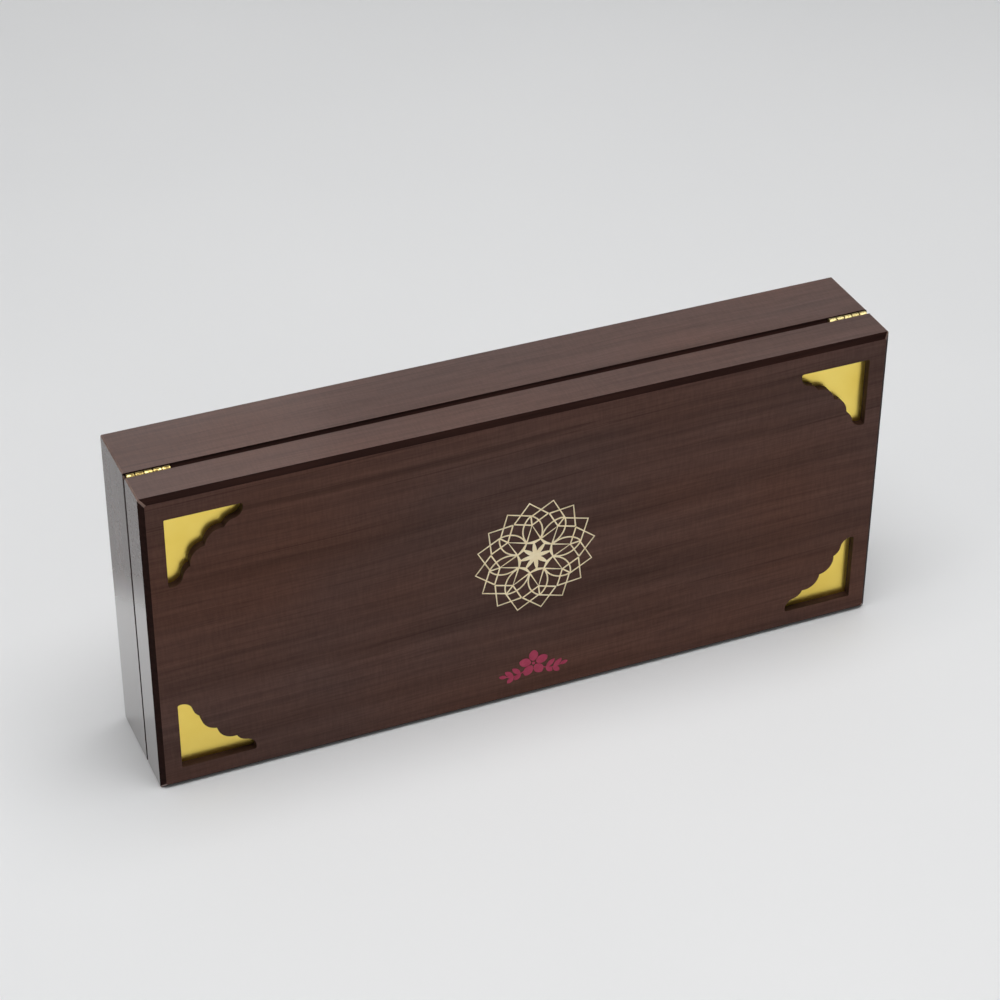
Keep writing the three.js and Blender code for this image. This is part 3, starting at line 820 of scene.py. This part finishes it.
def screw_rule():
    """Countersunk slotted screws, one at each point of the mesh that it is given."""
    inputs = {label: "NodeSocketFloat" for label in SCREW}
    inputs.update({"Turn": "NodeSocketVector", "Material": "NodeSocketMaterial"})
    rule = Geometry("countersunk_screws", inputs)
    head_radius, shank_radius = rule.value("Head Radius"), rule.value("Shank Radius")
    depth, length = rule.value("Head Depth"), rule.value("Length")
    head = rule.node("GeometryNodeMeshCone", {"Vertices": 40, "Radius Top": head_radius,
                                              "Radius Bottom": shank_radius, "Depth": depth})
    head = rule.lowered(head, depth)
    shank = rule.node("GeometryNodeMeshCone", {"Vertices": 24, "Radius Top": shank_radius,
                                               "Radius Bottom": SCREW_TIP,
                                               "Depth": rule.math("SUBTRACT", length, depth)})
    shank = rule.lowered(shank, length)
    solid = rule.node("GeometryNodeMeshBoolean", {"Mesh 2": [head, shank]}, operation="UNION", solver="EXACT")
    size = rule.vector(rule.math("MULTIPLY", head_radius, 3.0), rule.value("Slot Width"),
                       rule.math("MULTIPLY", rule.value("Slot Depth"), 2.0))
    slot = rule.node("GeometryNodeMeshCube", {"Size": size})
    cut = rule.node("GeometryNodeMeshBoolean", {"Mesh 1": solid, "Mesh 2": [slot]}, operation="DIFFERENCE",
                    solver="EXACT")
    placed = rule.node("GeometryNodeInstanceOnPoints", {"Points": rule.value("Geometry"), "Instance": cut,
                                                        "Rotation": rule.rotation(rule.value("Turn"))})
    rule.close(placed, rule.value("Material"))
    return rule


def hinge_screws(rule, half):
    nodes = [f"screw_{half}_{side}_{end}" for side in HINGE_SIDES for end in "ab"]
    work = bmesh.new()
    for node in nodes:
        work.verts.new(middle_on_rim(node, half))
    screws = add_object(f"hinge_screws_{half}", mesh_from("screw_points", work))
    rule.on(screws, {**SCREW, "Turn": (WAY[half] * math.pi / 2, 0, 0), "Material": BRASS["right"]})
    bevel(screws, SCREW_ROUND, 2, 35)
    return declare(screws, half, "hinge_brass", *nodes)


def magnets(half):
    for side in HINGE_SIDES:
        node = f"magnet_{half}_{side}"
        low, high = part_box(node)
        radius = (high.x - low.x) / 2
        profile = [(0, DISH_DEPTH), (radius - DISH_EDGE, DISH_DEPTH), (radius - LIP, 0), (radius, 0),
                   (radius, MAGNET_DEPTH), (0, MAGNET_DEPTH)]
        disc = lathe(f"{node}_fine", profile, middle_on_rim(node, half), WAY[half], 64)
        finish_with(disc, NICKEL)
        bevel(disc, MAGNET_ROUND, 3, 40)
        declare(disc, half, "magnet", node)


# ---- rosette ---------------------------------------------------------------------------------
rosette_low, rosette_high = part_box("rosette")
ROSETTE_AT = (rosette_low + rosette_high) / 2
FOIL = rosette_high.y - rosette_low.y
RAYS = 16
RAY = 2 * math.pi / RAYS
ROSETTE_TURN = math.radians(6.3)
LINE_WIDTH = 0.9  # this and the sizes below are in millimetres, and the turns are in rays
CUSP = 12.3
RADII = {"Star Radius": 36.9, "Second Radius": 28.1, "Third Radius": 21.4, "Petal Radius": 20.2,
         "Cusp Radius": CUSP - 1.0}  # the lines reach into the middle, to be welded there
RING_RADIUS = 1  # the eighths stand this far out from the centre
PETAL_TURN = 0.76
VALLEY = 10.9
KITE_INNER, KITE_MIDDLE, KITE_SIDE, KITE_OUTER = 3.5, 7.4, 9.0, 11.2
KITE_TURN = 0.86
KITE_BULGE = 0.14


def rosette_rule():
    """One eighth of the rosette's lines, swept with a flat section and repeated round its centre."""
    inputs = {label: "NodeSocketFloat" for label in RADII}
    inputs.update({"Line Width": "NodeSocketFloat", "Thickness": "NodeSocketFloat", "Turn": "NodeSocketFloat",
                   "Centre": "NodeSocketVector", "Material": "NodeSocketMaterial"})
    rule = Geometry("rosette_lines", inputs)

    def ray(label, index):
        radius = rule.value(f"{label} Radius")
        return rule.vector(rule.math("MULTIPLY", radius, math.cos(index * RAY)),
                           rule.math("MULTIPLY", radius, math.sin(index * RAY)))

    def arc(a, b, c, points=3):
        return rule.node("GeometryNodeCurveArc", {"Resolution": points, "Start": a, "Middle": b, "End": c},
                         mode="POINTS")

    lines = [arc(ray("Second", k - 1), ray("Star", k), ray("Second", k + 1)) for k in (0, 1)]
    lines += [arc(ray(foot, -1), ray("Third", 0), ray(foot, 1)) for foot in ("Second", "Cusp")]
    lines.append(rule.node("GeometryNodeCurvePrimitiveLine", {"Start": ray("Second", 0),
                                                              "End": ray("Third", 0)}))
    lines += [arc(ray("Second", 0), ray("Petal", PETAL_TURN * way), ray("Cusp", way), 14)
              for way in (-1, 1)]
    joined = rule.node("GeometryNodeJoinGeometry", {0: lines[::-1]})
    flat = rule.node("GeometryNodeSetCurveNormal", {"Curve": joined}, mode="Z_UP")
    section = rule.node("GeometryNodeCurvePrimitiveQuadrilateral", {"Width": rule.value("Line Width"),
                                                                    "Height": rule.value("Thickness")})
    swept = rule.node("GeometryNodeCurveToMesh", {"Curve": flat, "Profile Curve": section, "Fill Caps": True})
    ring = rule.node("GeometryNodeMeshCircle", {"Vertices": RAYS // 2, "Radius": RING_RADIUS * MM})
    step = rule.math("MULTIPLY", rule.node("GeometryNodeInputIndex"), 2 * RAY)
    spin = rule.vector(z=rule.math("ADD", step, rule.value("Turn")))
    placed = rule.node("GeometryNodeInstanceOnPoints", {"Points": ring, "Instance": swept,
                                                        "Rotation": rule.rotation(spin)})
    upright = rule.node("GeometryNodeTransform", {"Geometry": placed, "Rotation": (math.pi / 2, 0, 0),
                                                  "Translation": rule.value("Centre")})
    rule.close(upright, rule.value("Material"))
    return rule


def ray_point(index, radius):
    angle = ROSETTE_TURN + index * RAY
    return (ROSETTE_AT.x + radius * MM * math.cos(angle), ROSETTE_AT.z + radius * MM * math.sin(angle))


def foil(name, loops):
    """A flat metal shape on the lid's face: the first loop is its outline, the others are holes."""
    curve = bpy.data.curves.new(name, "CURVE")
    curve.dimensions = "2D"
    curve.fill_mode = "BOTH"
    curve.extrude = FOIL / 2
    for loop in loops:
        spline = curve.splines.new("POLY")
        spline.points.add(len(loop) - 1)
        for point, (x, z) in zip(spline.points, loop):
            point.co = (x, z, 0, 1)
        spline.use_cyclic_u = True
    shape = add_object(name, curve)
    mesh = evaluated_mesh(shape)
    bpy.data.objects.remove(shape)
    mesh.transform(Matrix.Translation((0, FACE_Y - FOIL / 2, 0)) @ Matrix.Rotation(math.pi / 2, 4, "X"))
    work = bmesh.new()
    work.from_mesh(mesh)
    bmesh.ops.remove_doubles(work, verts=work.verts, dist=0.001 * MM)
    bmesh.ops.recalc_face_normals(work, faces=work.faces)
    work.to_mesh(mesh)
    work.free()
    return add_object(name, mesh)


def between(a, b, share):
    return tuple(p + (q - p) * share for p, q in zip(a, b))


def rosette_middle():
    """The scalloped ring with its star of lens-shaped petals, pierced by kite-shaped holes."""
    rim = []
    for k in range(0, RAYS, 2):
        rim += arc_through(ray_point(k - 1, CUSP), ray_point(k, VALLEY), ray_point(k + 1, CUSP), 10)
    loops = [rim]
    for k in range(1, RAYS, 2):
        inner, middle = ray_point(k, KITE_INNER), ray_point(k, KITE_MIDDLE)
        left, right = (ray_point(k + way * KITE_TURN, KITE_SIDE) for way in (-1, 1))
        one = arc_through(inner, between(between(inner, left, 0.5), middle, KITE_BULGE), left, 8)
        other = arc_through(right, between(between(inner, right, 0.5), middle, KITE_BULGE), inner, 8)
        loops.append([inner, *one, ray_point(k, KITE_OUTER), right, *other[:-1]])
    return foil("rosette_middle", loops)


def rosette():
    """The lines and the middle, welded into one foil."""
    piece = add_object("rosette_fine", bpy.data.meshes.new("rosette_fine"))
    values = {label: radius * MM for label, radius in RADII.items()}
    values.update({"Line Width": LINE_WIDTH * MM, "Thickness": FOIL, "Turn": ROSETTE_TURN,
                   "Centre": (ROSETTE_AT.x, FACE_Y - FOIL / 2, ROSETTE_AT.z), "Material": CHAMPAGNE})
    rosette_rule().on(piece, values)
    combine(piece, [rosette_middle()], "UNION", overlapping=True)
    finish_with(piece, CHAMPAGNE)
    return declare(piece, "lid", "rosette_metal", "rosette")


# ---- blossom motif, with lengths in millimetres about the blossom's centre --------------------
blossom_low, blossom_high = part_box("blossom_motif")
BLOSSOM_X = (blossom_low.x + blossom_high.x) / 2
BLOSSOM_Z = 23.5 * MM
PETALS = 5
PETAL_FOOT, PETAL_LENGTH, PETAL_WIDTH = 1.7, 7.9, 6
STEM_START, STEM_REACH, STEM_DROP, STEM_SAG = 4, 14.5, 3.2, 3.4
STEM_STEPS = 12
STEM_HALF_WIDTH = 0.35
LEAF_PLACES = (0.3, 0.62)  # shares of the stem
LEAF_WIDTH = 3.3
LEAF_PAIR = ((0.75, 7.4), (-0.75, 5.4))  # angle to the ground and length
TIP_PLACE, TIP_ANGLE, TIP_LENGTH, TIP_WIDTH = 0.92, 0.25, 5.2, 2.5


def blossom_point(x, z):
    return (BLOSSOM_X + x * MM, BLOSSOM_Z + z * MM)


def stem_point(way, share):
    """A place on the stem that runs to one side, sagging a little."""
    return way * (STEM_START + STEM_REACH * share), -STEM_DROP - STEM_SAG * math.sin(share * math.pi * 0.8)


def leaf_loop(x, z, angle, length, width):
    """A pointed leaf or petal from its foot."""
    def at(along, across):
        return blossom_point(x + along * math.cos(angle) - across * math.sin(angle),
                             z + along * math.sin(angle) + across * math.cos(angle))

    one = arc_through(at(0, 0), at(length / 2, -width / 2), at(length, 0), 12)
    other = arc_through(at(length, 0), at(length / 2, width / 2), at(0, 0), 12)
    return one + other


def sprig_loops(way):
    """A stem, two pairs of leaves and a leaf at the tip, on one side of the blossom."""
    def outwards(angle):
        return angle if way > 0 else math.pi - angle

    stem = [stem_point(way, s / STEM_STEPS) for s in range(STEM_STEPS + 1)]
    upper = [blossom_point(x, z + STEM_HALF_WIDTH) for x, z in stem]
    under = [blossom_point(x, z - STEM_HALF_WIDTH) for x, z in stem]
    loops = [upper + under[::-1]]
    loops += [leaf_loop(*stem_point(way, share), outwards(angle), length, LEAF_WIDTH)
              for share in LEAF_PLACES for angle, length in LEAF_PAIR]
    loops.append(leaf_loop(*stem_point(way, TIP_PLACE), outwards(TIP_ANGLE), TIP_LENGTH, TIP_WIDTH))
    return loops


def blossom():
    """A five-petalled blossom between two sprigs, in one foil; hairlines part the petals."""
    loops = [arc_through(blossom_point(1, 0), blossom_point(-1, 0), blossom_point(0, -1), 18)
             + arc_through(blossom_point(0, -1), blossom_point(0.7, -0.7), blossom_point(1, 0), 6)]
    for petal in range(PETALS):
        angle = math.pi / 2 + petal * 2 * math.pi / PETALS
        x, z = PETAL_FOOT * math.cos(angle), PETAL_FOOT * math.sin(angle)
        loops.append(leaf_loop(x, z, angle, PETAL_LENGTH, PETAL_WIDTH))
    loops += sprig_loops(-1) + sprig_loops(1)
    motif, *others = [foil(f"blossom_motif_fine_{i}", [loop]) for i, loop in enumerate(loops)]
    combine(motif, others, "UNION")
    finish_with(motif, ROSE)
    return declare(motif, "lid", "motif_pink", "blossom_motif")


# ---- lining ----------------------------------------------------------------------------------
LINER_ROUND = 0.5 * MM
PAD_INSET = 1.2 * MM  # left round a pad for its filling to swell into
PAD_VOXEL = 4 * MM
PAD_PRESSURE = 4.0
PAD_SWELL = {"base": 3.5 * MM, "lid": 2.2 * MM}  # how far a pad's faces may move
PAD_ROUND = 0.32  # of its thickness
BLOWING_FRAMES = 20


def liner(half, side):
    """Velvet-covered card: a copy of the board in the frame with softly turned edges."""
    node = f"{half}_liner_{side}"
    work = bmesh.new()
    work.from_mesh(frame["nodes"][node].data)
    bmesh.ops.remove_doubles(work, verts=work.verts, dist=0.01 * MM)
    bmesh.ops.dissolve_limit(work, angle_limit=math.radians(2), verts=work.verts, edges=work.edges)
    card = add_object(f"{node}_velvet", mesh_from(node, work))
    finish_with(card, VELVET)
    bevel(card, LINER_ROUND, 4)
    return declare(card, half, "lining", node)


def blow_up(core, swell):
    """Fills a closed mesh like a cushion, as cloth, and holds each point to a move of at most swell."""
    rest = [v.co.copy() for v in core.data.vertices]
    cloth = core.modifiers.new("filling", "CLOTH")
    cloth.settings.use_pressure = True
    cloth.settings.uniform_pressure_force = PAD_PRESSURE
    cloth.settings.effector_weights.gravity = 0
    cloth.settings.quality = 4
    scene = bpy.context.scene
    for step in range(1, BLOWING_FRAMES + 1):
        scene.frame_set(step)
    settle(core)
    scene.frame_set(1)
    for vertex, start in zip(core.data.vertices, rest):
        move = vertex.co - start
        if move.length > swell:
            vertex.co = start + move.normalized() * swell


def pad(half):
    """A cushion: a rounded slab that is blown up inside the box of the CAD's plain one."""
    node = f"{half}_pad"
    low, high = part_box(node)
    inset = Vector((PAD_INSET, PAD_INSET, PAD_INSET))
    core = block(f"{node}_velvet", low + inset, high - inset)
    bevel(core, PAD_ROUND * min(high - low), 4)
    remesh = core.modifiers.new("even_mesh", "REMESH")
    remesh.mode = "VOXEL"
    remesh.voxel_size = PAD_VOXEL
    settle(core)
    blow_up(core, PAD_SWELL[half])
    for vertex in core.data.vertices:
        for axis in range(3):
            vertex.co[axis] = min(max(vertex.co[axis], low[axis]), high[axis])
    smooth = core.modifiers.new("fine", "SUBSURF")
    smooth.levels = 1
    smooth.render_levels = 1
    settle(core)
    core.data.shade_smooth()
    finish_with(core, VELVET)
    declare(core, half, "lining", node)


# ---- the studio ------------------------------------------------------------------------------
CAMERA_AT = Vector((-0.5381, -1.2507, 1.0450))
CAMERA_TARGET = Vector((-0.0197, -0.0364, 0.1469))
CAMERA_ROLL = math.radians(0.277)
FOCAL_LENGTH, SENSOR_WIDTH = 100.92, 36
FLOOR_FRONT, FLOOR_BACK, FLOOR_HALF_WIDTH = -4.0, 2.2, 5.0
BACKDROP_BEND, BACKDROP_TOP = 1.0, 4.0
DAYLIGHT, DAYLIGHT_STRENGTH = (0.97, 0.985, 1.0, 1), 0.19
SOFTBOXES = {  # place, target, size and watts
    "overhead_softbox": ((0.05, -0.25, 2.4), (0, 0, 0), (2.2, 1.8), 50),
    "left_softbox": ((-2.1, -0.4, 1.5), (0, 0, 0.05), (0.9, 0.9), 5),
    "back_glow": ((0.1, 2.5, 2.0), (0, 0, 0.2), (1.3, 1.0), 0.8),
    "front_fill": ((1.3, -2.2, 1.9), (0.4, -0.4, 0), (1.3, 1.3), 5),
}


def camera():
    lens = bpy.data.cameras.new("camera")
    lens.sensor_width = SENSOR_WIDTH
    lens.lens = FOCAL_LENGTH
    lens.clip_start = 0.05
    viewer = add_object("camera", lens)
    viewer.location = CAMERA_AT
    viewer.rotation_mode = "QUATERNION"
    aim = (CAMERA_TARGET - CAMERA_AT).to_track_quat("-Z", "Y")
    viewer.rotation_quaternion = aim @ Euler((0, 0, CAMERA_ROLL)).to_quaternion()
    bpy.context.scene.camera = viewer


def sweep():
    """A pale floor that curves up into a backdrop."""
    angles = [math.pi / 2 * i / 12 for i in range(1, 13)]
    profile = [(FLOOR_FRONT, 0.0), (FLOOR_BACK, 0.0)]
    profile += [(FLOOR_BACK + BACKDROP_BEND * math.sin(a), BACKDROP_BEND * (1 - math.cos(a))) for a in angles]
    profile.append((FLOOR_BACK + BACKDROP_BEND, BACKDROP_TOP))
    work = bmesh.new()
    rows = [[work.verts.new((x, y, z)) for y, z in profile] for x in (-FLOOR_HALF_WIDTH, FLOOR_HALF_WIDTH)]
    for i in range(len(profile) - 1):
        work.faces.new((rows[0][i], rows[1][i], rows[1][i + 1], rows[0][i + 1]))
    floor = add_object("floor_sweep", mesh_from("floor_sweep", work))
    floor.data.shade_smooth()
    finish_with(floor, pale_card().material)


def softbox(name, place, target, size, watts):
    light = bpy.data.lights.new(name, "AREA")
    light.shape = "RECTANGLE"
    light.size, light.size_y = size
    light.energy = watts
    lamp = add_object(name, light)
    lamp.location = place
    lamp.rotation_mode = "QUATERNION"
    lamp.rotation_quaternion = (Vector(target) - Vector(place)).to_track_quat("-Z", "Y")
    lamp.visible_camera = False


def studio():
    bpy.context.scene.view_settings.view_transform = "Standard"
    world = bpy.data.worlds.new("studio")
    bpy.context.scene.world = world
    world.use_nodes = True
    background = world.node_tree.nodes["Background"]
    background.inputs["Color"].default_value = DAYLIGHT
    background.inputs["Strength"].default_value = DAYLIGHT_STRENGTH
    sweep()
    for name, settings in SOFTBOXES.items():
        softbox(name, *settings)


# ---- making it -------------------------------------------------------------------------------
camera()
lid_shell()
base_shell()
back_panel()
for corner in CORNERS:
    finish_with(frame["nodes"][f"corner_plate_{corner}"], GILT)
for side in HINGE_SIDES:
    for half in HALVES:
        hinge_leaf(side, half)
    hinge_pin(side)
screws = screw_rule()
for half in HALVES:
    hinge_screws(screws, half)
    magnets(half)
    for side in WALL_SIDES:
        liner(half, side)
rosette()
blossom()
for half in HALVES:
    pad(half)
studio()
